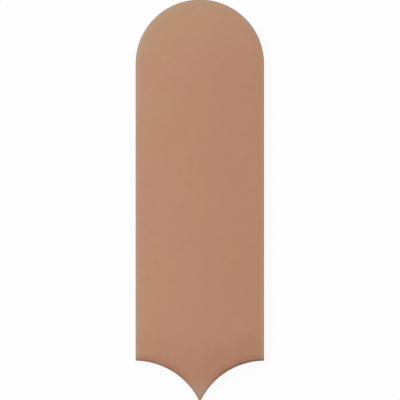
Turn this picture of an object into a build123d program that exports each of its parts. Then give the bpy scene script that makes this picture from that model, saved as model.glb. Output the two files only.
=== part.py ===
from build123d import *

import os
from math import asin, degrees, sqrt

# A fan-shaped wall tile, pressed, glazed and fired in one piece. The head is a half circle, the sides are
# straight, and the tail is a point between two hollow arcs, which the heads of the next course fit into.
# The face is flat in the middle and falls away softly to a rounded arris all the way round. Below the
# upright part of the edge the sides are set back, so that the tiles meet at their faces and leave room
# for adhesive behind. The back has sunk keying pockets between ribs.
#
# The tile lies on its back: X across its width, Y along its length towards the round head, Z up out of
# its face. The origin is the middle of the back. Lengths are in millimetres and angles in degrees.

# The whole tile
width = 80.0
length = 250.0
thickness = 9.0

# The outline seen from the front
head_radius = width / 2
tail_radius = 44.5
tail_centre_x = 40.5
tip_radius = 0.6
corner_radius = 0.6

# The section through the edge
cushion_width = 6.0
arris_radius = 1.0
edge_fall = 1.2
set_back = 0.8
set_back_height = 3.0

# The keying pattern on the back
rim_width = 7.0
rib_width = 3.0
pocket_columns = 4
pocket_rows = 8
pocket_depth = 1.0
pocket_draft = 20.0
pocket_corner_radius = 1.5
smallest_pocket = 60.0

# How far the cutting profiles reach past the tile, and how far round they are turned
clear = 4.0
head_turn = 180
tail_turn = 90
straight_up = 90

# Where the outline's arcs are struck from
head_y = length / 2 - head_radius
tail_centre_y = tip_radius - length / 2 - sqrt((tail_radius + tip_radius) ** 2 - tail_centre_x**2)
tail_arc_top = tail_centre_y + tail_radius

# The wide arc that leaves the flat face level and runs smoothly into the arris
cushion_run = cushion_width - arris_radius
cushion_radius = (cushion_run**2 + edge_fall**2 - arris_radius**2) / (edge_fall - arris_radius) / 2
cushion_angle = degrees(asin(cushion_run / (cushion_radius - arris_radius)))
edge_top = thickness - edge_fall


def height_on_tail_arc(x, inset=0.0):
    """How far along the tile the tail's arc is at x, for the outline or for one inside it."""
    return tail_centre_y + sqrt((tail_radius + inset) ** 2 - (tail_centre_x - x) ** 2)


def outline(inset=0.0):
    """The tile's outline as a face, or one that lies the same distance inside it all round."""
    side_x = width / 2 - inset
    arc_radius = tail_radius + inset
    corner_y = height_on_tail_arc(side_x, inset)
    tip_y = height_on_tail_arc(0, inset)
    with BuildSketch() as face:
        with BuildLine():
            CenterArc((0, head_y), side_x, 0, head_turn)
            Line((-side_x, head_y), (-side_x, corner_y))
            RadiusArc((-side_x, corner_y), (0, tip_y), arc_radius)
            RadiusArc((0, tip_y), (side_x, corner_y), arc_radius)
            Line((side_x, corner_y), (side_x, head_y))
        make_face()
    return face.sketch


def edge_section(origin, outward):
    """What the edge loses, drawn at a point of the outline: X runs out of the tile and Y is up."""
    along = Vector(outward).cross(Vector(0, 0, 1))
    above = thickness + clear
    with BuildSketch(Plane(origin=origin, x_dir=outward, z_dir=along)) as cut:
        with BuildLine():
            cushion_centre = (-cushion_width, thickness - cushion_radius)
            cushion = CenterArc(cushion_centre, cushion_radius, straight_up, -cushion_angle)
            arris_start = straight_up - cushion_angle
            arris = CenterArc((-arris_radius, edge_top), arris_radius, arris_start, -arris_start)
            Polyline(arris @ 1, (clear, edge_top), (clear, above), (-cushion_width, above), cushion @ 0)
        make_face()
        with BuildLine():
            Polyline(
                (-set_back, 0),
                (0, set_back_height),
                (clear, set_back_height),
                (clear, -clear),
                (-set_back, -clear),
                close=True,
            )
        make_face()
    return cut.sketch


with BuildSketch() as front:
    add(outline())
    tip, *corners = front.vertices().sort_by(Axis.Y)[:3]
    fillet(tip, tip_radius)
    fillet(corners, corner_radius)

# The pockets fill a smaller copy of the outline. A rib runs down the axis, and cross ribs lie on the lines
# where the head and the tail begin, with one more across the head.
with BuildSketch() as pockets:
    add(outline(rim_width))
    field_width = width - 2 * rim_width
    field_foot = height_on_tail_arc(field_width / 2, rim_width)
    column_pitch = (field_width + rib_width) / pocket_columns
    row_pitch = (head_y - field_foot) / pocket_rows
    with GridLocations(column_pitch, 0, pocket_columns - 1, 1):
        Rectangle(rib_width, length, mode=Mode.SUBTRACT)
    with Locations([(0, field_foot + row * row_pitch) for row in range(pocket_rows + 2)]):
        Rectangle(width, rib_width, mode=Mode.SUBTRACT)
    slivers = pockets.faces().filter_by(lambda pocket: pocket.area < smallest_pocket)
    add(slivers, mode=Mode.SUBTRACT)
    fillet(pockets.vertices(), pocket_corner_radius)

with BuildPart() as tile:
    add(front.sketch)
    extrude(amount=thickness)
    # The edge section is turned round the head, run down both sides and turned along both tail arcs.
    head_axis = Axis((0, head_y, 0), (0, 0, 1))
    revolve(edge_section((head_radius, head_y, 0), (1, 0, 0)), head_axis, head_turn, mode=Mode.SUBTRACT)
    side_length = head_y - tail_arc_top + clear
    for side in (1, -1):
        side_section = edge_section((side * width / 2, head_y, 0), (side, 0, 0))
        extrude(side_section, amount=side_length, dir=(0, -1, 0), mode=Mode.SUBTRACT)
    for side in (1, -1):
        tail_section = edge_section((side * tail_centre_x, tail_arc_top, 0), (0, -1, 0))
        tail_axis = Axis((side * tail_centre_x, tail_centre_y, 0), (0, 0, side))
        revolve(tail_section, tail_axis, tail_turn, mode=Mode.SUBTRACT)
    extrude(pockets.sketch, amount=pocket_depth, taper=pocket_draft, mode=Mode.SUBTRACT)

tile.part.label = "tile"
os.makedirs("parts", exist_ok=True)
export_step(tile.part, "parts/tile.step")
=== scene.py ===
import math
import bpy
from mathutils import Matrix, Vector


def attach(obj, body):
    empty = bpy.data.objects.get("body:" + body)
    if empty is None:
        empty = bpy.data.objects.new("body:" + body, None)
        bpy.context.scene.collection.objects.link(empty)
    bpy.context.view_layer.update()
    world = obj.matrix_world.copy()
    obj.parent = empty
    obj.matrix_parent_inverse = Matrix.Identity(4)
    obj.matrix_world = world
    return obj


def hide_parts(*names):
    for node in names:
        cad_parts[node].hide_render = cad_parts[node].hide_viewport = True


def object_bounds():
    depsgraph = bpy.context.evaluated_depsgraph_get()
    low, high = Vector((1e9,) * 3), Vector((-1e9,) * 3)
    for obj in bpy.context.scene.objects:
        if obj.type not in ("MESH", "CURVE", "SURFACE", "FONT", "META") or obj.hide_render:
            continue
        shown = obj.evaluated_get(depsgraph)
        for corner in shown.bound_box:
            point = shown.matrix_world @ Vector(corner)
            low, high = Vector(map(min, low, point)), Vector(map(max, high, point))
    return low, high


bl_info = {
    "name": "Fan-shaped ceramic tile",
    "version": (1, 0, 0),
    "blender": (4, 5, 0),
    "location": "View3D > Sidebar > Tile",
    "description": "Models a glazed fan-shaped wall tile, its fired surface and a plain studio round it",
    "category": "Add Mesh",
}

import bmesh
import bpy
from mathutils import Vector

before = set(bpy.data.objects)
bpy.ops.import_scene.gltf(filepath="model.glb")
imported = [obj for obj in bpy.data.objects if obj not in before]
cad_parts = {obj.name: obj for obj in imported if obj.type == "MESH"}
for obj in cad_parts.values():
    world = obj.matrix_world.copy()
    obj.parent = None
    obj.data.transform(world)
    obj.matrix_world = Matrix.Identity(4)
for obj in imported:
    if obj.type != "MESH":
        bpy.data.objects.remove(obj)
bpy.context.view_layer.update()
cad_low, cad_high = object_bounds()

# The tile lies on its back: X across it, Y along it towards the round head, Z up out of its face.
# Lengths are in metres, and the origin is the middle of the back.
MM = 0.001
TOUCHING = 0.001 * MM

# Steps along one half of the outline, from the crown of the head down to the tip of the tail
HEAD_STEPS = 64
SIDE_STEPS = 148
CORNER_STEPS = 4
TAIL_STEPS = 52
TIP_STEPS = 4

# Steps up the side, through the edge, and through the lip and the foot of a keying pocket
SIDE_LEVELS = 4
ARRIS_STEPS = 6
CUSHION_STEPS = 8
POCKET_STEPS = 4

# Edges that turn by more than this stay sharp.
SHARP_ANGLE = math.radians(40)

# Which of the numbered patterns of the broad noise the patches of the glaze follow
PATCH_PATTERN = 20.5

# Specks: the pitch of their uneven outline and their full core, as shares of their radius, and the levels
# of chance at which a speck starts to show and shows fully
SPECK_WAVE = 1.5
SPECK_CORE = 0.3
SPECK_CHANCE = (0.4, 0.9)

# Tones laid over the glaze as soft light, in which a half of each colour changes nothing
UNCHANGED = (0.5, 0.5, 0.5)
LIGHT_CLOUD = (0.525, 0.52, 0.512)
DARK_STREAK = (0.49, 0.488, 0.484)
LIGHT_STREAK = (0.512, 0.514, 0.518)

# Sockets of a Mix node that blends colours
MIX_SHARE = 0
MIX_FIRST = 6
MIX_SECOND = 7
MIX_RESULT = 2


def chart(red, green, blue):
    """A colour given from 0 to 255, as on a paint chart, turned into the linear one that materials use."""
    shares = [level / 255 for level in (red, green, blue)]
    return [share / 12.92 if share <= 0.04045 else ((share + 0.055) / 1.055) ** 2.4 for share in shares]


def size_setting(name, description, default):
    return bpy.props.FloatProperty(
        name=name, description=description, default=default, min=0.0, precision=5, unit="LENGTH"
    )


def share_setting(name, description, default):
    return bpy.props.FloatProperty(
        name=name, description=description, default=default, min=0.0, max=1.0, subtype="FACTOR"
    )


def colour_setting(name, description, *levels):
    return bpy.props.FloatVectorProperty(
        name=name, description=description, default=chart(*levels), min=0.0, max=1.0, subtype="COLOR"
    )


def span_setting(name, description, start, end):
    """Two places in millimetres: where a change starts, and where it ends."""
    span = (start * MM, end * MM)
    return bpy.props.FloatVectorProperty(
        name=name, description=description, default=span, size=2, precision=5, unit="LENGTH"
    )


def range_setting(name, description, low, high):
    """Two shares, or two levels of a noise, the lower one first."""
    return bpy.props.FloatVectorProperty(
        name=name, description=description, default=(low, high), min=0.0, max=1.0, size=2
    )


class TileSizes(bpy.types.PropertyGroup):
    """Sizes of the tile"""

    width: size_setting("Width", "Across the straight sides", cad_high.x - cad_low.x)
    length: size_setting("Length", "From the tip of the tail to the crown", cad_high.y - cad_low.y)
    thickness: size_setting("Thickness", "From the back to the face", cad_high.z - cad_low.z)
    tail_radius: size_setting("Tail radius", "Radius of the two hollow arcs of the tail", 44.5 * MM)
    tail_centre: size_setting("Tail centre", "From the middle line to the arcs' centres", 40.5 * MM)
    tip_radius: size_setting("Tip radius", "Rounding of the tip and corners, from the front", 0.6 * MM)
    cushion_width: size_setting("Cushion width", "How far from the edge the face starts to fall", 6.0 * MM)
    arris_radius: size_setting("Arris radius", "Rounding where the face turns into the side", 1.0 * MM)
    edge_fall: size_setting("Edge fall", "How far below the face the upright side starts", 1.2 * MM)
    set_back: size_setting("Set-back", "How far inside the outline the edge of the back is", 0.8 * MM)
    set_back_height: size_setting("Set-back height", "Height up to which the side leans", 3.0 * MM)
    hem: size_setting("Hem", "Softening of the edge between the back and the side", 0.15 * MM)
    pocket_depth: size_setting("Pocket depth", "Depth of the keying pockets", 1.0 * MM)
    pocket_rim: size_setting("Pocket rim", "Plain rim between the outline and the pockets", 7.0 * MM)
    pocket_lip: size_setting("Pocket lip", "Rounding of the lip and the foot of the pockets", 0.3 * MM)
    pocket_draft: bpy.props.FloatProperty(
        name="Pocket draft",
        description="Lean of the pockets' walls",
        default=math.radians(20),
        subtype="ANGLE",
    )
    face_wave: size_setting("Face wave", "How far the fired face dips", 0.16 * MM)
    face_wave_pitch: size_setting("Face wave pitch", "From one dip of the face to the next", 22 * MM)
    edge_wave: size_setting("Edge wave", "How far the fired edges draw in", 0.06 * MM)
    edge_wave_pitch: size_setting("Edge wave pitch", "From one dip of the edges to the next", 17 * MM)


class FiredLook(bpy.types.PropertyGroup):
    """Colours and gloss of the glaze and the bare clay, with the painted light and shade laid on the glaze
    """

    warm: colour_setting("Warm glaze", "The pinker of the two main tones of the glaze", 180, 124, 97)
    ochre: colour_setting("Ochre glaze", "The yellower of the two main tones of the glaze", 177, 125, 95)
    head: colour_setting("Head tone", "Greener tone towards the round head", 175, 141, 105)
    # Painted light: a paler tone laid on the left side, the side towards the lamp
    painted_left_light: colour_setting("Left tone", "Paler tone towards the left side", 188, 142, 108)
    foot: colour_setting("Foot tone", "Yellower tone at the foot of the left side", 176, 141, 96)
    # Painted shade: the dark tone painted above the tail arcs and low on the right, away from the lamp
    painted_shade_tone: colour_setting("Pooled glaze", "Where the glaze has run thick above the tail", 155, 104, 74)
    # Painted shade: the dark line painted along the hollow arcs; also the colour of the real dark specks
    rim: colour_setting("Tail rim", "Dark line along the hollow arcs", 106, 71, 53)
    thin: colour_setting("Thin glaze", "Where the glaze has drawn back from an edge", 169, 145, 127)
    clay: colour_setting("Bare clay", "Unglazed clay of the lower sides and the back", 198, 168, 138)
    burnt: colour_setting("Burnt clay", "Darker patches of the unglazed clay", 178, 144, 114)
    wash: colour_setting("Kiln wash", "Pale dust from the kiln shelf on the ribs", 220, 205, 186)
    glaze_dullness: share_setting("Glaze dullness", "Roughness of the satin glaze", 0.50)
    glaze_clouding: share_setting("Glaze clouding", "How much that roughness varies", 0.12)
    clay_dullness: share_setting("Clay dullness", "Roughness of the unglazed clay", 0.88)


class FiredGrain(bpy.types.PropertyGroup):
    """Patches, clouds, streaks, bumps, grains and specks. Levels are those of a noise from 0 to 1."""

    patch_size: size_setting("Patch size", "From one broad patch of a tone to the next", 45 * MM)
    patch_levels: range_setting("Patch levels", "Levels where the ochre starts and is full", 0.36, 0.64)
    cloud_size: size_setting("Cloud size", "From one soft cloud to the next", 14 * MM)
    cloud_levels: range_setting("Cloud levels", "Levels where light clouds start and are full", 0.3, 0.7)
    cloud_height: size_setting("Cloud height", "Height of the swells in the glaze", 0.10 * MM)
    streak_size: size_setting("Streak size", "From one fine streak to the next", 4 * MM)
    streak_levels: range_setting("Streak levels", "Levels of the darkest and lightest streaks", 0.35, 0.65)
    bump_size: size_setting("Bump size", "From one small bump to the next", 1.6 * MM)
    glaze_bump_height: size_setting("Glaze bump height", "Height of the bumps in the glaze", 0.030 * MM)
    clay_bump_height: size_setting("Clay bump height", "Height of the bumps in the clay", 0.06 * MM)
    grain_size: size_setting("Grain size", "From one fine grain to the next", 0.5 * MM)
    glaze_grain_height: size_setting("Glaze grain height", "Height of the grains in the glaze", 0.006 * MM)
    clay_grain_height: size_setting("Clay grain height", "Height of the grains in the clay", 0.12 * MM)
    pale_grains: range_setting("Pale grains", "Levels where the glaze has pale grains", 0.35, 0.75)
    dark_grains: range_setting("Dark grains", "Levels where the clay has dark grains", 0.45, 0.8)
    pale_grain_share: share_setting("Pale grain share", "Strength of the pale grains", 0.14)
    dark_grain_share: share_setting("Dark grain share", "Strength of the dark grains", 0.5)
    speck_pitch: size_setting("Speck pitch", "From one dark speck to the next", 2.4 * MM)
    speck_radius: size_setting("Speck radius", "Radius of the dark specks", 0.32 * MM)
    speck_depth: size_setting("Speck depth", "Depth of the dark specks in the glaze", 0.02 * MM)
    glaze_speck_share: share_setting("Glaze speck share", "Strength of the specks in the glaze", 0.3)
    clay_speck_share: share_setting("Clay speck share", "Strength of the specks in the clay", 0.5)
    grog_pitch: size_setting("Grog pitch", "From one pale lump of grog in the clay to the next", 1.1 * MM)
    grog_radius: size_setting("Grog radius", "Radius of the lumps of grog", 0.30 * MM)
    grog_height: size_setting("Grog height", "Height of the lumps of grog", 0.03 * MM)
    grog_share: share_setting("Grog share", "Strength of the lumps of grog", 0.5)
    burnt_levels: range_setting("Burnt levels", "Levels where burnt patches start and are full", 0.42, 0.68)
    wash_reach: span_setting("Wash reach", "Up from the shelf, where the kiln wash ends", 0.05, 0.25)
    wash_levels: range_setting("Wash levels", "Levels where kiln wash starts and is full", 0.56, 0.86)
    wash_grain: share_setting("Wash grain", "How grainy the kiln wash is", 0.35)
    wash_share: share_setting("Wash share", "Strength of the kiln wash", 0.6)


class GlazeFlow(bpy.types.PropertyGroup):
    """Where the tones of the glaze lie, painted light and shade among them, measured from the middle of the
    tile, and how strong they are
    """

    tone_wander: size_setting("Tone wander", "How far the borders of the broad tones wander", 12 * MM)
    ochre_right: share_setting("Ochre right", "How much the ochre gains at the right side", 0.16)
    ochre_head: share_setting("Ochre head", "How much the ochre gains at the crown", 0.08)
    # Painted light: where the paler tone painted on the left side lies, and how strong it is
    left: span_setting("Left", "Across the tile, where the paler tone on the left ends", -42, 26)
    left_foot: span_setting("Left foot", "Along the tile, where that tone starts above the tail", -108, -72)
    left_share: share_setting("Left share", "Strength of that tone", 0.35)
    head: span_setting("Head", "Along the tile, where the greener tone of the head starts", 60, 120)
    head_slant: share_setting("Head slant", "How much that start slants up to the right", 0.4)
    head_wander: size_setting("Head wander", "How far that start wanders", 60 * MM)
    head_share: share_setting("Head share", "Strength of that tone", 0.6)
    foot_across: span_setting("Foot across", "Across the tile, where the left foot's tone ends", -38, -18)
    foot_along: span_setting("Foot along", "Along the tile, where that tone ends", -75, -25)
    foot_wander: size_setting("Foot wander", "How far its end across the tile wanders", 6 * MM)
    foot_share: share_setting("Foot share", "Strength of that tone", 0.32)

    # Painted shade above the tail arcs and low on the right: where it lies and how strong it is
    faint_painted_shade: span_setting("Soft pool", "From the arcs, where the faint pool above them ends", 11, 22)
    faint_painted_shade_wander: size_setting("Soft pool wander", "How far that end wanders", 9 * MM)
    faint_painted_shade_share: share_setting("Soft pool share", "Strength of that pool", 0.12)
    low_along: span_setting("Low along", "Along the tile, where the low pool on the right ends", -98, -80)
    low_across: span_setting("Low across", "Across the tile, where that pool starts", -9, 5)
    low_wander: size_setting("Low wander", "How far its start and its end wander", 6 * MM)
    low_share: share_setting("Low share", "Strength of that pool", 0.18)
    pool: span_setting("Pool", "From the arcs, where the dark pool beside them ends", 0.6, 5.6)
    painted_shade_wander: size_setting("Pool wander", "How far that end wanders", 2.4 * MM)
    painted_shade_range: range_setting("Pool range", "Its strength near the tip and over the hollow", 0.4, 0.8)
    hollow: range_setting("Hollow", "Where an arc's hollow starts, as sines of angles", 0.55, 0.95)

    arris: span_setting("Arris", "From the edge, where the thin glaze ends", 0.5, 3.4)
    arris_wander: size_setting("Arris wander", "How far that end wanders", 1.0 * MM)
    arris_depth: size_setting("Arris depth", "How far down the thin glaze reaches", 0.6 * MM)
    arris_gap: size_setting("Arris gap", "Width that it loses over the hollow arcs", 4 * MM)
    arris_share: share_setting("Arris share", "Strength of the thin tone along the edge", 0.5)
    tip: span_setting("Tip", "Along the tile, where the thin glaze of the tip ends", -118.5, -108.5)
    tip_wander: size_setting("Tip wander", "How far that end wanders", 3 * MM)
    tip_share: share_setting("Tip share", "Strength of the thin tone at the tip", 0.38)

    # Painted shade: where the dark line painted along the hollow arcs lies, and how much stronger it is on
    # the right, away from the lamp
    line: span_setting("Line", "From the arcs, where the dark line in them ends", 0.4, 2.0)
    line_wander: size_setting("Line wander", "How far that end wanders", 1.6 * MM)
    line_foot: size_setting("Line foot", "From the glaze line up to the foot of the dark line", 0.5 * MM)
    line_at_tip: share_setting("Line at tip", "How much of the dark line is left near the tip", 0.3)
    line_right: span_setting("Line right", "Across the tile, where the dark line gets stronger", -24, 14)
    line_range: range_setting("Line range", "Its strength on the left and on the right", 0.45, 0.9)

    glaze_line: size_setting("Glaze line", "Height on the sides at which the glaze ends", 4.2 * MM)
    glaze_line_wander: size_setting("Glaze line wander", "How far that height wanders", 1.32 * MM)
    glaze_line_ripple: size_setting("Glaze line ripple", "How far it ripples besides", 0.5 * MM)
    glaze_line_blur: size_setting("Glaze line blur", "Way to each side over which it ends", 0.12 * MM)
    glaze_step: size_setting("Glaze step", "How far the glaze stands proud of the clay", 0.12 * MM)


class StudioSetup(bpy.types.PropertyGroup):
    """Light, floor and camera"""

    sky: share_setting("Sky", "Strength of the even light, as a share of white", 0.68)
    key: bpy.props.FloatProperty(
        name="Key lamp", description="Power of the main lamp", default=15.8, min=0.0, unit="POWER"
    )
    key_width: size_setting("Key lamp width", "Width of the main lamp", 1.1)
    key_height: size_setting("Key lamp height", "Height of the main lamp", 0.85)
    key_place: bpy.props.FloatVectorProperty(
        name="Key lamp place",
        description="Where the main lamp hangs",
        default=(-1.00, 0.62, 1.75),
        unit="LENGTH",
    )
    floor: colour_setting("Floor", "Colour that the floor throws on the tile", 240, 240, 240)
    floor_reach: size_setting("Floor reach", "From the middle of the floor to its edges", 3.0)
    shadow: share_setting("Shadow", "How much of the floor's shading the camera sees", 0.08)
    lens: size_setting("Lens", "Focal length of the camera", 200 * MM)
    sensor: size_setting("Sensor", "Width of the camera's sensor", 36 * MM)
    framed: size_setting("Framed", "Length that fills the picture", 248.9 * MM)
    framed_height: size_setting("Framed height", "Height above the floor at which it does", 7.5 * MM)
    aim: bpy.props.FloatVectorProperty(
        name="Aim",
        description="Place on the tile that the camera is straight above",
        default=(0.11 * MM, 0.27 * MM),
        size=2,
        precision=5,
        unit="LENGTH",
    )


def head_centre(sizes):
    """Y of the point that the head's half circle is struck from."""
    return sizes.length / 2 - sizes.width / 2


def tail_centre(sizes):
    """Y of the points that the tail's hollow arcs are struck from."""
    reach = math.sqrt((sizes.tail_radius + sizes.tip_radius) ** 2 - sizes.tail_centre**2)
    return sizes.tip_radius - sizes.length / 2 - reach


def height_on_tail_arc(sizes, x, inset):
    """Y of the right hollow arc at x, for a line that stays a stated way inside the outline."""
    return tail_centre(sizes) + math.sqrt((sizes.tail_radius + inset) ** 2 - (sizes.tail_centre - x) ** 2)


def distance_inside(sizes, place):
    """How far inside the outline a place is, seen from the front."""
    head_y = head_centre(sizes)
    from_side = sizes.width / 2 - math.hypot(place.x, max(place.y - head_y, 0))
    to_tail = math.hypot(abs(place.x) - sizes.tail_centre, place.y - tail_centre(sizes))
    return min(from_side, to_tail - sizes.tail_radius)


def take_up(*pieces):
    """Selects these objects and nothing else, and makes the first one active."""
    bpy.ops.object.select_all(action="DESELECT")
    for piece in pieces:
        piece.select_set(True)
    bpy.context.view_layer.objects.active = pieces[0]


def open_mesh(piece):
    take_up(piece)
    bpy.ops.object.mode_set(mode="EDIT")
    bpy.ops.mesh.select_mode(type="VERT")
    bpy.ops.mesh.select_all(action="DESELECT")


def close_mesh():
    bpy.ops.object.mode_set(mode="OBJECT")


def pick_points(wanted):
    """In edit mode, selects the points whose place passes a test, with the edges and faces between them."""
    data = bpy.context.edit_object.data
    bpy.ops.mesh.select_mode(type="VERT")
    bpy.ops.mesh.select_all(action="DESELECT")
    mesh = bmesh.from_edit_mesh(data)
    for point in mesh.verts:
        point.select = wanted(point.co)
    mesh.select_flush(True)
    bmesh.update_edit_mesh(data)


def pick_edges(wanted):
    """In edit mode, selects the edges that pass a test."""
    data = bpy.context.edit_object.data
    bpy.ops.mesh.select_mode(type="EDGE")
    bpy.ops.mesh.select_all(action="DESELECT")
    mesh = bmesh.from_edit_mesh(data)
    for edge in mesh.edges:
        edge.select_set(wanted(edge))
    bmesh.update_edit_mesh(data)


def pick_faces(wanted):
    """In edit mode, selects the faces whose middle and normal pass a test."""
    data = bpy.context.edit_object.data
    bpy.ops.mesh.select_mode(type="FACE")
    bpy.ops.mesh.select_all(action="DESELECT")
    mesh = bmesh.from_edit_mesh(data)
    for face in mesh.faces:
        face.select_set(wanted(face.calc_center_median(), face.normal))
    bmesh.update_edit_mesh(data)


def between(share, low, high):
    """Low where the share is 0, high where it is 1, and in proportion between, also for signals."""
    return share * (high - low) + low


def turn_left(steps, angle, centre):
    """Draws an arc on from the selected end of a line, turning to the left about a centre."""
    bpy.ops.mesh.spin(steps=steps, angle=-angle, center=centre, axis=(0, 0, 1))


def add_half_outline(sizes, inset, height, rounding):
    """Draws the right half of the outline as a line, from crown to tip, a stated way inside it."""
    head_y = head_centre(sizes)
    side_x = sizes.width / 2 - inset
    corner_x = side_x - rounding
    corner = Vector((corner_x, height_on_tail_arc(sizes, corner_x, inset + rounding), height))
    tip = Vector((0, height_on_tail_arc(sizes, 0, inset + rounding), height))
    tail = Vector((sizes.tail_centre, tail_centre(sizes), height))
    spring = Vector((side_x, head_y, height))

    bpy.ops.object.select_all(action="DESELECT")
    bpy.ops.mesh.primitive_circle_add(vertices=4 * HEAD_STEPS, radius=side_x, location=(0, head_y, height))
    line = bpy.context.object
    bpy.ops.object.transform_apply(location=True, rotation=True, scale=True)
    open_mesh(line)
    pick_points(lambda place: place.x < -TOUCHING or place.y < head_y - TOUCHING)
    bpy.ops.mesh.delete(type="VERT")
    pick_points(lambda place: (place - spring).length < TOUCHING)
    bpy.ops.mesh.extrude_repeat(steps=SIDE_STEPS, offset=(0, (corner.y - head_y) / SIDE_STEPS, 0))

    to_tail = math.atan2(tail.y - corner.y, tail.x - corner.x)
    turn_left(CORNER_STEPS, to_tail, corner)
    corner_angle = math.atan2(corner.y - tail.y, corner.x - tail.x)
    tip_angle = math.atan2(tip.y - tail.y, tip.x - tail.x)
    turn_left(TAIL_STEPS, tip_angle - corner_angle, tail)
    tip_to_tail = math.atan2(tail.y - tip.y, tail.x - tip.x)
    turn_left(TIP_STEPS, -math.pi / 2 - tip_to_tail, tip)
    close_mesh()
    return line


def edge_stations(sizes):
    """The section through the edge, from the back to the flat face, as (inset, height, corner rounding)."""
    tip = sizes.tip_radius
    hem = sizes.hem
    hem_middle = 0.3 * hem
    hem_end = 1.5 * hem
    lean = sizes.set_back / sizes.set_back_height
    stations = [
        (sizes.set_back + hem, 0.0, tip),
        (sizes.set_back + hem_middle, hem_middle, tip),
        (sizes.set_back - hem_end * lean, hem_end, tip),
        (sizes.set_back / 2, sizes.set_back_height / 2, tip),
        (hem_end * lean, sizes.set_back_height - hem_end, tip),
        (0.0, sizes.set_back_height + hem, tip),
    ]
    side_top = sizes.thickness - sizes.edge_fall
    for step in range(1, SIDE_LEVELS):
        stations.append((0.0, between(step / SIDE_LEVELS, sizes.set_back_height, side_top), tip))

    # The arris is a small arc from the upright side into the cushion, which is a wide one and ends level.
    run = sizes.cushion_width - sizes.arris_radius
    drop = sizes.edge_fall - sizes.arris_radius
    cushion_radius = (run**2 + sizes.edge_fall**2 - sizes.arris_radius**2) / drop / 2
    cushion_angle = math.asin(run / (cushion_radius - sizes.arris_radius))
    for step in range(ARRIS_STEPS):
        angle = step / ARRIS_STEPS * (math.pi / 2 - cushion_angle)
        inset = sizes.arris_radius * (1 - math.cos(angle))
        stations.append((inset, side_top + sizes.arris_radius * math.sin(angle), tip + inset))
    for step in range(CUSHION_STEPS + 1):
        angle = (1 - step / CUSHION_STEPS) * cushion_angle
        inset = sizes.cushion_width - cushion_radius * math.sin(angle)
        height = sizes.thickness - cushion_radius * (1 - math.cos(angle))
        stations.append((inset, height, tip + inset / 2))
    return stations


def fill_face(sizes, line, inset, height, rounding):
    """Closes the flat half face inside its line with an even grid that ends on the middle line."""
    head_y = head_centre(sizes)
    side_x = sizes.width / 2 - inset
    corner_y = height_on_tail_arc(sizes, side_x - rounding, inset + rounding)
    foot_y = height_on_tail_arc(sizes, 0, inset + rounding) - rounding
    crown = Vector((0, head_y + side_x, height))

    # The grid runs from the tail's arc, with half of the corner, to as many steps of the head. Its ends
    # are told apart from the sides by heights half a step beyond their outermost points.
    half_corner = CORNER_STEPS // 2
    across_steps = TIP_STEPS + TAIL_STEPS + half_corner
    along_steps = half_corner + SIDE_STEPS + HEAD_STEPS - across_steps
    shoulder = (HEAD_STEPS - across_steps - 0.5) / HEAD_STEPS * math.pi / 2
    shoulder_y = head_y + side_x * math.sin(shoulder)
    heel = (half_corner - 0.5) / CORNER_STEPS * math.pi / 2
    heel_y = corner_y - rounding * math.sin(heel)

    open_mesh(line)
    pick_points(lambda place: (place - crown).length < TOUCHING)
    bpy.ops.mesh.extrude_repeat(steps=along_steps, offset=(0, (foot_y - crown.y) / along_steps, 0))
    bpy.ops.mesh.select_all(action="SELECT")
    bpy.ops.mesh.remove_doubles(threshold=TOUCHING)

    def is_on_head(place):
        return place.y > shoulder_y and math.hypot(place.x, place.y - head_y) > side_x - TOUCHING

    def is_on_tail(place):
        return place.y < heel_y and (place.x > TOUCHING or place.y < foot_y + TOUCHING)

    pick_points(lambda place: is_on_head(place) or is_on_tail(place))
    bpy.ops.mesh.fill_grid(use_interp_simple=True)
    close_mesh()


def add_half_body(sizes):
    """The right half of the face, the cushion, the arris and the side, without the back."""
    stations = edge_stations(sizes)
    lines = [add_half_outline(sizes, *station) for station in stations]
    fill_face(sizes, lines[-1], *stations[-1])
    take_up(*lines)
    bpy.ops.object.join()
    body = bpy.context.object
    open_mesh(body)
    heights = [height for inset, height, rounding in stations]
    for lower, upper in zip(heights, heights[1:]):

        def is_open_edge(edge):
            ends = [point.co for point in edge.verts]
            level = any(all(abs(end.z - height) < TOUCHING for end in ends) for height in (lower, upper))
            return level and len(edge.link_faces) < 2 and any(end.x > TOUCHING for end in ends)

        pick_edges(is_open_edge)
        bpy.ops.mesh.bridge_edge_loops()
    close_mesh()
    return body


def mirror_half(body):
    """Adds the left half, as far as the middle line."""
    take_up(body)
    mirror = body.modifiers.new("left_half", "MIRROR")
    mirror.merge_threshold = TOUCHING
    bpy.ops.object.modifier_apply(modifier=mirror.name)


def pocket_stations(sizes):
    """The section through a pocket's wall, as (way in from the rim, depth): lip, drafted wall and foot."""
    steep = math.pi / 2 - sizes.pocket_draft
    lip = sizes.pocket_lip
    stations = []
    for step in range(1, POCKET_STEPS + 1):
        angle = step / POCKET_STEPS * steep
        stations.append((lip * math.sin(angle), lip * (1 - math.cos(angle))))
    way_in, depth = stations[-1]
    foot_start = way_in + (sizes.pocket_depth - 2 * depth) * math.tan(sizes.pocket_draft)
    for step in range(POCKET_STEPS + 1):
        angle = (1 - step / POCKET_STEPS) * steep
        way_round = lip * (math.sin(steep) - math.sin(angle))
        stations.append((foot_start + way_round, sizes.pocket_depth - lip * (1 - math.cos(angle))))
    return stations


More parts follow.
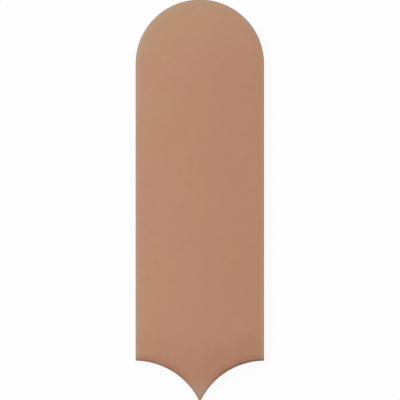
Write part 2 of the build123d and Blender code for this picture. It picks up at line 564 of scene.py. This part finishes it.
def add_pockets(sizes):
    """The keying pockets as open shells with soft lips, sunk from the rims that they have in the frame."""
    take_up(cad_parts["tile"])
    bpy.ops.object.duplicate()
    pockets = bpy.context.object
    open_mesh(pockets)
    bpy.ops.mesh.select_all(action="SELECT")
    bpy.ops.mesh.remove_doubles(threshold=TOUCHING)

    def is_in_pocket(middle):
        inside = distance_inside(sizes, middle) > sizes.pocket_rim / 2
        return inside and TOUCHING < middle.z < sizes.pocket_depth + TOUCHING

    pick_faces(lambda middle, normal: not is_in_pocket(middle))
    bpy.ops.mesh.delete(type="FACE")
    pick_edges(lambda edge: edge.is_boundary)
    bpy.ops.mesh.edge_face_add()
    pick_faces(lambda middle, normal: middle.z > TOUCHING)
    bpy.ops.mesh.delete(type="FACE")
    pick_faces(lambda middle, normal: normal.z > 0)
    bpy.ops.mesh.flip_normals()

    bpy.ops.mesh.select_all(action="SELECT")
    inward, sunk = 0.0, 0.0
    for way_in, depth in pocket_stations(sizes):
        bpy.ops.mesh.inset(thickness=way_in - inward, depth=sunk - depth, use_individual=True)
        inward, sunk = way_in, depth
    close_mesh()
    return pockets


def close_back(body, pockets):
    """Joins the pockets to the tile and fills the flat of the back between them and the edge."""
    take_up(body, pockets)
    bpy.ops.object.join()
    open_mesh(body)
    pick_edges(lambda edge: edge.is_boundary and max(point.co.z for point in edge.verts) < TOUCHING)
    bpy.ops.mesh.fill(use_beauty=True)
    bpy.ops.mesh.select_all(action="SELECT")
    bpy.ops.mesh.remove_doubles(threshold=TOUCHING)
    bpy.ops.mesh.normals_make_consistent(inside=False)
    pick_faces(lambda middle, normal: middle.z < TOUCHING)
    bpy.ops.mesh.region_to_loop()
    bpy.ops.mesh.mark_sharp()
    close_mesh()
    take_up(body)
    bpy.ops.object.shade_smooth_by_angle(angle=SHARP_ANGLE)


def way_between(value, low, high):
    """0 up to low, 1 from high on, and smooth between them."""
    way = min(max((value - low) / (high - low), 0.0), 1.0)
    return way * way * (3 - 2 * way)


def warp(piece, name, weight, direction, depth, pitch):
    """Draws the surface in by up to a depth, with a soft noise, as strongly as each point's weight says."""
    group = piece.vertex_groups.new(name=name)
    for point in piece.data.vertices:
        group.add([point.index], weight(point.co), "REPLACE")
    noise = bpy.data.textures.new(name, "CLOUDS")
    noise.noise_scale = pitch
    noise.noise_depth = 1
    displace = piece.modifiers.new(name, "DISPLACE")
    displace.texture = noise
    displace.texture_coords = "LOCAL"
    displace.vertex_group = name
    displace.direction = direction
    displace.mid_level = 1.0
    displace.strength = depth
    take_up(piece)
    bpy.ops.object.modifier_apply(modifier=displace.name)
    piece.vertex_groups.clear()


class TILE_OT_fired_tile(bpy.types.Operator):
    """Model the fired tile in one piece: glazed face, cushioned edge, leaning sides and keyed back"""

    bl_idname = "tile.fired_tile"
    bl_label = "Fired tile"

    def execute(self, context):
        sizes = context.scene.tile_sizes
        tile = add_half_body(sizes)
        tile.name = tile.data.name = "fired_tile"
        mirror_half(tile)
        close_back(tile, add_pockets(sizes))

        def face_weight(place):
            return way_between(place.z, sizes.thickness - sizes.edge_fall, sizes.thickness)

        def edge_weight(place):
            near_edge = 1 - way_between(distance_inside(sizes, place), 0, sizes.cushion_width)
            return near_edge * way_between(place.z, 0, sizes.set_back_height)

        warp(tile, "face_wave", face_weight, "Z", sizes.face_wave, sizes.face_wave_pitch)
        warp(tile, "edge_wave", edge_weight, "NORMAL", sizes.edge_wave, sizes.edge_wave_pitch)
        tile.data.materials.clear()
        tile.data.materials.append(fired_material(context.scene))
        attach(tile, "root")
        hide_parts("tile")
        return {"FINISHED"}


class Signal:
    """A number, colour or place that runs through a material. Arithmetic on numbers adds Math nodes."""

    def __init__(self, recipe, socket):
        self.recipe = recipe
        self.socket = socket

    def __add__(self, other):
        return self.recipe.math("ADD", self, other)

    def __sub__(self, other):
        return self.recipe.math("SUBTRACT", self, other)

    def __rsub__(self, other):
        return self.recipe.math("SUBTRACT", other, self)

    def __mul__(self, other):
        return self.recipe.math("MULTIPLY", self, other)

    def __truediv__(self, other):
        return self.recipe.math("DIVIDE", self, other)

    def __abs__(self):
        return self.recipe.math("ABSOLUTE", self)

    __radd__ = __add__
    __rmul__ = __mul__


class Recipe:
    """Adds nodes to the tree of a material or of the world"""

    def __init__(self, tree):
        self.tree = tree
        tree.nodes.clear()

    def add(self, kind, settings, inputs, output=0):
        """Adds one node: its settings first, then the values or links of its sockets."""
        node = self.tree.nodes.new(kind)
        for name, value in settings.items():
            setattr(node, name, value)
        for name, value in inputs.items():
            if isinstance(value, Signal):
                self.tree.links.new(value.socket, node.inputs[name])
            else:
                node.inputs[name].default_value = value
        if node.outputs:
            return Signal(self, node.outputs[output])

    def math(self, operation, *values):
        return self.add("ShaderNodeMath", {"operation": operation}, dict(enumerate(values)))

    def blend(self, share, first, second, kind="MIX"):
        """The first colour where the share is 0, and the second where it is 1."""
        first, second = (paint if isinstance(paint, Signal) else (*paint, 1.0) for paint in (first, second))
        colours = {MIX_SHARE: share, MIX_FIRST: first, MIX_SECOND: second}
        return self.add("ShaderNodeMix", {"data_type": "RGBA", "blend_type": kind}, colours, MIX_RESULT)

    def rise(self, value, low, high):
        """0 up to low, 1 from high on, and smooth between them."""
        limits = {"Value": value, "From Min": low, "From Max": high}
        return self.add("ShaderNodeMapRange", {"interpolation_type": "SMOOTHSTEP"}, limits)

    def fall(self, value, low, high):
        """1 up to low, 0 from high on, and smooth between them."""
        return 1 - self.rise(value, low, high)

    def noise(self, place, pitch, detail=2.0, roughness=0.5, pattern=0.0):
        """A soft noise from 0 to 1, with its lumps about a pitch apart. Its patterns are numbered."""
        values = {
            "Vector": place,
            "W": pattern,
            "Scale": 1 / pitch,
            "Detail": detail,
            "Roughness": roughness,
        }
        return self.add("ShaderNodeTexNoise", {"noise_dimensions": "4D"}, values)

    def stir(self, place, pitch, reach):
        """The place moved about by a noise, so that what is drawn there gets an uneven outline."""
        shift = self.add("ShaderNodeTexNoise", {}, {"Vector": place, "Scale": 1 / pitch}, "Color")
        values = {0: shift, 1: (2 * reach,) * 3, 2: place}
        return self.add("ShaderNodeVectorMath", {"operation": "MULTIPLY_ADD"}, values)

    def specks(self, place, pitch, radius):
        """1 in small uneven specks about a pitch apart, some fainter than others, and 0 between them."""
        cells = {"Vector": self.stir(place, SPECK_WAVE * radius, radius), "Scale": 1 / pitch}
        distance = self.add("ShaderNodeTexVoronoi", {}, cells, "Distance")
        colour = self.add("ShaderNodeTexVoronoi", {}, cells, "Color")
        chance = self.add("ShaderNodeSeparateColor", {}, {"Color": colour})
        edge = radius / pitch
        return self.fall(distance, SPECK_CORE * edge, edge) * self.rise(chance, *SPECK_CHANCE)


def swing(noise, reach):
    """A noise from 0 to 1 turned into one that swings about 0, over a reach from end to end."""
    return (noise - 0.5) * reach


class FiredSurface:
    """What is known of each place on the fired tile, and the tones and relief that it gets from that"""

    def __init__(self, recipe, scene):
        sizes = scene.tile_sizes
        grain = scene.tile_grain
        self.recipe = recipe
        self.sizes = sizes
        self.look = scene.tile_look
        self.grain = grain
        self.flow = scene.tile_flow
        place = recipe.add("ShaderNodeTexCoord", {}, {}, "Object")
        self.x = recipe.add("ShaderNodeSeparateXYZ", {}, {"Vector": place}, "X")
        self.y = recipe.add("ShaderNodeSeparateXYZ", {}, {"Vector": place}, "Y")
        self.z = recipe.add("ShaderNodeSeparateXYZ", {}, {"Vector": place}, "Z")

        # Noises, from broad patches down to fine grains
        self.patchy = recipe.noise(place, grain.patch_size, detail=1.0, pattern=PATCH_PATTERN)
        self.cloudy = recipe.noise(place, grain.cloud_size, detail=3.0)
        self.streaky = recipe.noise(place, grain.streak_size, detail=5.0, roughness=0.65)
        self.bumpy = recipe.noise(place, grain.bump_size)
        self.grainy = recipe.noise(place, grain.grain_size, roughness=0.7)
        self.specks = recipe.specks(place, grain.speck_pitch, grain.speck_radius)
        self.grog = recipe.specks(place, grain.grog_pitch, grain.grog_radius)

        # How far a place is inside the tail's arcs, and inside the rest of the outline
        beside = abs(self.x) - sizes.tail_centre
        above = self.y - tail_centre(sizes)
        to_tail_centre = recipe.math("SQRT", beside * beside + above * above)
        past_sides = recipe.math("MAXIMUM", self.y - head_centre(sizes), 0.0)
        to_middle = recipe.math("SQRT", self.x * self.x + past_sides * past_sides)
        self.from_tail = to_tail_centre - sizes.tail_radius
        self.from_side = sizes.width / 2 - to_middle

        # 1 over the hollow of an arc, and 0 beside it, near the tip
        self.over_hollow = recipe.rise(above / to_tail_centre, *self.flow.hollow)
        self.face_edge = sizes.thickness - sizes.edge_fall

    def main_tones(self):
        """Two tones in soft patches, with painted light making them paler on the left, greener at the head,
        yellower at the left foot.
        """
        recipe, look, flow = self.recipe, self.look, self.flow
        to_right = self.x * (2 * flow.ochre_right / self.sizes.width)
        to_head = self.y * (2 * flow.ochre_head / self.sizes.length)
        in_patch = recipe.rise(self.patchy + to_right + to_head, *self.grain.patch_levels)
        glaze = recipe.blend(in_patch, look.warm, look.ochre)

        wander = swing(self.cloudy, flow.tone_wander)
        # Painted light: the left side, towards the lamp, is made paler
        painted_light_on_left = recipe.fall(self.x + wander, *flow.left) * recipe.rise(self.y + wander, *flow.left_foot)
        glaze = recipe.blend(painted_light_on_left * flow.left_share, glaze, look.painted_left_light)

        head_wander = swing(self.patchy, flow.head_wander)
        at_head = recipe.rise(self.y - self.x * flow.head_slant + head_wander, *flow.head)
        glaze = recipe.blend(at_head * flow.head_share, glaze, look.head)

        foot_wander = swing(self.cloudy, flow.foot_wander)
        low_down = recipe.fall(self.y + wander, *flow.foot_along)
        at_foot = recipe.fall(self.x + foot_wander, *flow.foot_across) * low_down
        return recipe.blend(at_foot * flow.foot_share, glaze, look.foot)

    def pool(self, glaze):
        """Painted shade above the tail, where the face turns away from the lamp: a faint band along the
        arcs, a patch low on the right, and a darker band beside the arcs, strongest over their hollows.
        """
        recipe, look, flow = self.recipe, self.look, self.flow
        faint_painted_shade = recipe.fall(self.from_tail + swing(self.cloudy, flow.faint_painted_shade_wander), *flow.faint_painted_shade)
        wander = swing(self.cloudy, flow.low_wander)
        low_down = recipe.fall(self.y + wander, *flow.low_along)
        low_on_right = low_down * recipe.rise(self.x + wander, *flow.low_across)
        share = faint_painted_shade * flow.faint_painted_shade_share + low_on_right * flow.low_share
        glaze = recipe.blend(share, glaze, look.painted_shade_tone)
        pool = recipe.fall(self.from_tail + swing(self.cloudy, flow.painted_shade_wander), *flow.pool)
        return recipe.blend(pool * between(self.over_hollow, *flow.painted_shade_range), glaze, look.painted_shade_tone)

    def mottle(self, glaze):
        """Soft clouds and fine streaks make the glaze a little lighter and darker."""
        recipe, grain = self.recipe, self.grain
        clouds = recipe.blend(recipe.rise(self.cloudy, *grain.cloud_levels), UNCHANGED, LIGHT_CLOUD)
        glaze = recipe.blend(1.0, glaze, clouds, "SOFT_LIGHT")
        streaks = recipe.blend(recipe.rise(self.streaky, *grain.streak_levels), DARK_STREAK, LIGHT_STREAK)
        return recipe.blend(1.0, glaze, streaks, "SOFT_LIGHT")

    def thin_out(self, glaze):
        """Along the arris and at the tip the glaze is thin and greyer, but not over the hollow arcs."""
        recipe, look, flow = self.recipe, self.look, self.flow
        on_top = recipe.rise(self.z, self.face_edge - flow.arris_depth, self.face_edge)
        from_arc = self.from_tail + self.over_hollow * flow.arris_gap
        from_arris = recipe.math("MINIMUM", self.from_side, from_arc) + swing(self.bumpy, flow.arris_wander)
        on_arris = on_top * recipe.fall(from_arris, *flow.arris)
        glaze = recipe.blend(on_arris * flow.arris_share, glaze, look.thin)
        at_tip = recipe.fall(self.y + swing(self.cloudy, flow.tip_wander), *flow.tip)
        return recipe.blend(at_tip * flow.tip_share, glaze, look.thin)

    def draw_line(self, glaze):
        """Painted shade: a dark line along the top of the hollow arcs, where they turn away from the lamp,
        stronger on the right.
        """
        recipe, flow = self.recipe, self.flow
        high_up = recipe.rise(self.z, flow.glaze_line + flow.line_foot, self.face_edge)
        in_arc = recipe.fall(self.from_tail + swing(self.streaky, flow.line_wander), *flow.line)
        along_arc = between(self.over_hollow, flow.line_at_tip, 1)
        across = between(recipe.rise(self.x, *flow.line_right), *flow.line_range)
        return recipe.blend(high_up * in_arc * along_arc * across, glaze, self.look.rim)

    def glaze(self):
        """The finished glaze, with fine pale grains and dark specks in it."""
        recipe, look, grain = self.recipe, self.look, self.grain
        glaze = self.mottle(self.pool(self.main_tones()))
        glaze = self.draw_line(self.thin_out(glaze))
        grains = recipe.rise(self.grainy, *grain.pale_grains)
        glaze = recipe.blend(grains * grain.pale_grain_share, glaze, look.thin)
        return recipe.blend(self.specks * grain.glaze_speck_share, glaze, look.rim)

    def clay(self):
        """Buff clay with burnt patches, grainy, and dusted with kiln wash where it touched the shelf."""
        recipe, look, grain = self.recipe, self.look, self.grain
        clay = recipe.blend(recipe.rise(self.cloudy, *grain.burnt_levels), look.clay, look.burnt)
        grains = recipe.rise(self.grainy, *grain.dark_grains)
        clay = recipe.blend(grains * grain.dark_grain_share, clay, look.burnt)
        clay = recipe.blend(self.grog * grain.grog_share, clay, look.wash)
        clay = recipe.blend(self.specks * grain.clay_speck_share, clay, look.rim)
        on_shelf = recipe.fall(self.z, *grain.wash_reach)
        dusting = recipe.rise(self.streaky + self.grainy * grain.wash_grain, *grain.wash_levels)
        return recipe.blend(on_shelf * dusting * grain.wash_share, clay, look.wash)

    def is_glazed(self):
        """1 above the uneven line on the sides that the glaze has run down to, and 0 below it."""
        flow = self.flow
        wander = swing(self.cloudy, flow.glaze_line_wander) + swing(self.bumpy, flow.glaze_line_ripple)
        above_line = self.z - (wander + flow.glaze_line)
        return self.recipe.rise(above_line, -flow.glaze_line_blur, flow.glaze_line_blur)

    def dullness(self, glazed):
        """Roughness: satin on the glaze, a little uneven with the clouds, and dull on the clay."""
        satin = swing(self.cloudy, self.look.glaze_clouding) + self.look.glaze_dullness
        return between(glazed, self.look.clay_dullness, satin)

    def relief(self, glazed):
        """Height in metres: a faint eggshell in the glaze, grain in the clay, and the step between."""
        grain = self.grain
        eggshell = swing(self.cloudy, grain.cloud_height) + swing(self.bumpy, grain.glaze_bump_height)
        eggshell = eggshell + swing(self.grainy, grain.glaze_grain_height) - self.specks * grain.speck_depth
        rough = swing(self.grainy, grain.clay_grain_height) + swing(self.bumpy, grain.clay_bump_height)
        rough = rough + self.grog * grain.grog_height
        return between(glazed, rough, eggshell + self.flow.glaze_step)


def fired_material(scene):
    """Satin glaze on the face and the upper sides, and bare fired clay on the lower sides and the back."""
    material = bpy.data.materials.new("glazed_clay")
    material.use_nodes = True
    recipe = Recipe(material.node_tree)
    fired = FiredSurface(recipe, scene)
    glazed = fired.is_glazed()
    surface = {
        "Base Color": recipe.blend(glazed, fired.clay(), fired.glaze()),
        "Roughness": fired.dullness(glazed),
        "Normal": recipe.add("ShaderNodeBump", {}, {"Height": fired.relief(glazed), "Distance": 1.0}),
    }
    finish = recipe.add("ShaderNodeBsdfPrincipled", {}, surface)
    recipe.add("ShaderNodeOutputMaterial", {}, {"Surface": finish})
    return material


class TILE_OT_studio(bpy.types.Operator):
    """Lay a plain floor under the tile, and set up the light and a camera that looks straight down"""

    bl_idname = "tile.studio"
    bl_label = "Studio"

    def execute(self, context):
        sizes = context.scene.tile_sizes
        studio = context.scene.tile_studio
        add_camera(context, studio)
        add_floor(sizes, studio)
        add_sky(context, studio)
        add_lamp(context, studio)
        context.scene.view_settings.view_transform = "Standard"
        return {"FINISHED"}


def add_camera(context, studio):
    """A long lens straight above the middle of the tile, near enough for the tile to fill the frame."""
    camera = bpy.data.cameras.new("camera")
    camera.sensor_width = studio.sensor / MM
    camera.lens = studio.lens / MM
    distance = studio.framed * studio.lens / studio.sensor
    holder = bpy.data.objects.new("camera", camera)
    holder.location = (*studio.aim, studio.framed_height + distance)
    context.scene.collection.objects.link(holder)
    context.scene.camera = holder


def add_floor(sizes, studio):
    """A wide floor, open under the tile, so that the back can be looked at and gets light from below."""
    opening = add_half_outline(sizes, sizes.set_back, 0.0, sizes.tip_radius)
    mirror_half(opening)
    bpy.ops.object.select_all(action="DESELECT")
    bpy.ops.mesh.primitive_plane_add(size=2 * studio.floor_reach)
    floor = bpy.context.object
    open_mesh(floor)
    bpy.ops.mesh.select_all(action="SELECT")
    bpy.ops.mesh.delete(type="ONLY_FACE")
    close_mesh()
    take_up(floor, opening)
    bpy.ops.object.join()
    open_mesh(floor)
    bpy.ops.mesh.select_all(action="SELECT")
    bpy.ops.mesh.fill(use_beauty=False)
    pick_faces(lambda middle, normal: normal.z < 0)
    bpy.ops.mesh.flip_normals()
    close_mesh()
    floor.name = floor.data.name = "floor"
    floor.data.materials.append(floor_material(studio))


def floor_material(studio):
    """White to the camera, with a little of the tile's shadow, and see-through from below."""
    material = bpy.data.materials.new("floor")
    material.use_nodes = True
    recipe = Recipe(material.node_tree)
    seen = recipe.add("ShaderNodeLightPath", {}, {}, "Is Camera Ray")
    beneath = recipe.add("ShaderNodeNewGeometry", {}, {}, "Backfacing")
    plain = recipe.add("ShaderNodeBsdfDiffuse", {}, {"Color": (*studio.floor, 1.0)})
    white = recipe.add("ShaderNodeEmission", {}, {"Strength": 1.0})
    clear = recipe.add("ShaderNodeBsdfTransparent", {}, {})
    shown = recipe.add("ShaderNodeMixShader", {}, {0: seen * (1 - studio.shadow), 1: plain, 2: white})
    shown = recipe.add("ShaderNodeMixShader", {}, {0: beneath, 1: shown, 2: clear})
    recipe.add("ShaderNodeOutputMaterial", {}, {"Surface": shown})
    return material


def add_sky(context, studio):
    """Even light from all round, which is plain white where it is seen directly or in a reflection."""
    world = bpy.data.worlds.new("studio")
    world.use_nodes = True
    recipe = Recipe(world.node_tree)
    seen = recipe.add("ShaderNodeLightPath", {}, {}, "Is Camera Ray")
    mirrored = recipe.add("ShaderNodeLightPath", {}, {}, "Is Glossy Ray")
    passed = recipe.add("ShaderNodeLightPath", {}, {}, "Is Transmission Ray")
    white = recipe.math("MAXIMUM", recipe.math("MAXIMUM", seen, mirrored), passed)
    level = white * (1 - studio.sky) + studio.sky
    light = recipe.add("ShaderNodeBackground", {}, {"Color": (1.0, 1.0, 1.0, 1.0), "Strength": level})
    recipe.add("ShaderNodeOutputWorld", {}, {"Surface": light})
    context.scene.world = world


def add_lamp(context, studio):
    """A broad soft lamp up beyond the head, to the left."""
    lamp = bpy.data.lights.new("key_lamp", "AREA")
    lamp.shape = "RECTANGLE"
    lamp.size = studio.key_width
    lamp.size_y = studio.key_height
    lamp.energy = studio.key
    holder = bpy.data.objects.new("key_lamp", lamp)
    holder.location = studio.key_place
    holder.rotation_mode = "QUATERNION"
    holder.rotation_quaternion = (-holder.location).to_track_quat("-Z", "Y")
    holder.visible_camera = False
    context.scene.collection.objects.link(holder)


class TILE_PT_making(bpy.types.Panel):
    """Lists the steps that make the tile and its studio, with their settings"""

    bl_idname = "TILE_PT_making"
    bl_label = "Fan-shaped tile"
    bl_space_type = "VIEW_3D"
    bl_region_type = "UI"
    bl_category = "Tile"

    def draw(self, context):
        for group in SETTINGS:
            settings = getattr(context.scene, group)
            box = self.layout.box()
            for name in settings.__annotations__:
                box.prop(settings, name)
        self.layout.operator(TILE_OT_fired_tile.bl_idname)
        self.layout.operator(TILE_OT_studio.bl_idname)


SETTINGS = {
    "tile_sizes": TileSizes,
    "tile_look": FiredLook,
    "tile_grain": FiredGrain,
    "tile_flow": GlazeFlow,
    "tile_studio": StudioSetup,
}
CLASSES = (*SETTINGS.values(), TILE_OT_fired_tile, TILE_OT_studio, TILE_PT_making)


def register():
    for kind in CLASSES:
        bpy.utils.register_class(kind)
    for name, kind in SETTINGS.items():
        setattr(bpy.types.Scene, name, bpy.props.PointerProperty(type=kind))


def unregister():
    for name in SETTINGS:
        delattr(bpy.types.Scene, name)
    for kind in reversed(CLASSES):
        bpy.utils.unregister_class(kind)


def main():
    register()
    bpy.ops.tile.fired_tile()
    bpy.ops.tile.studio()


if __name__ == "__main__":
    main()
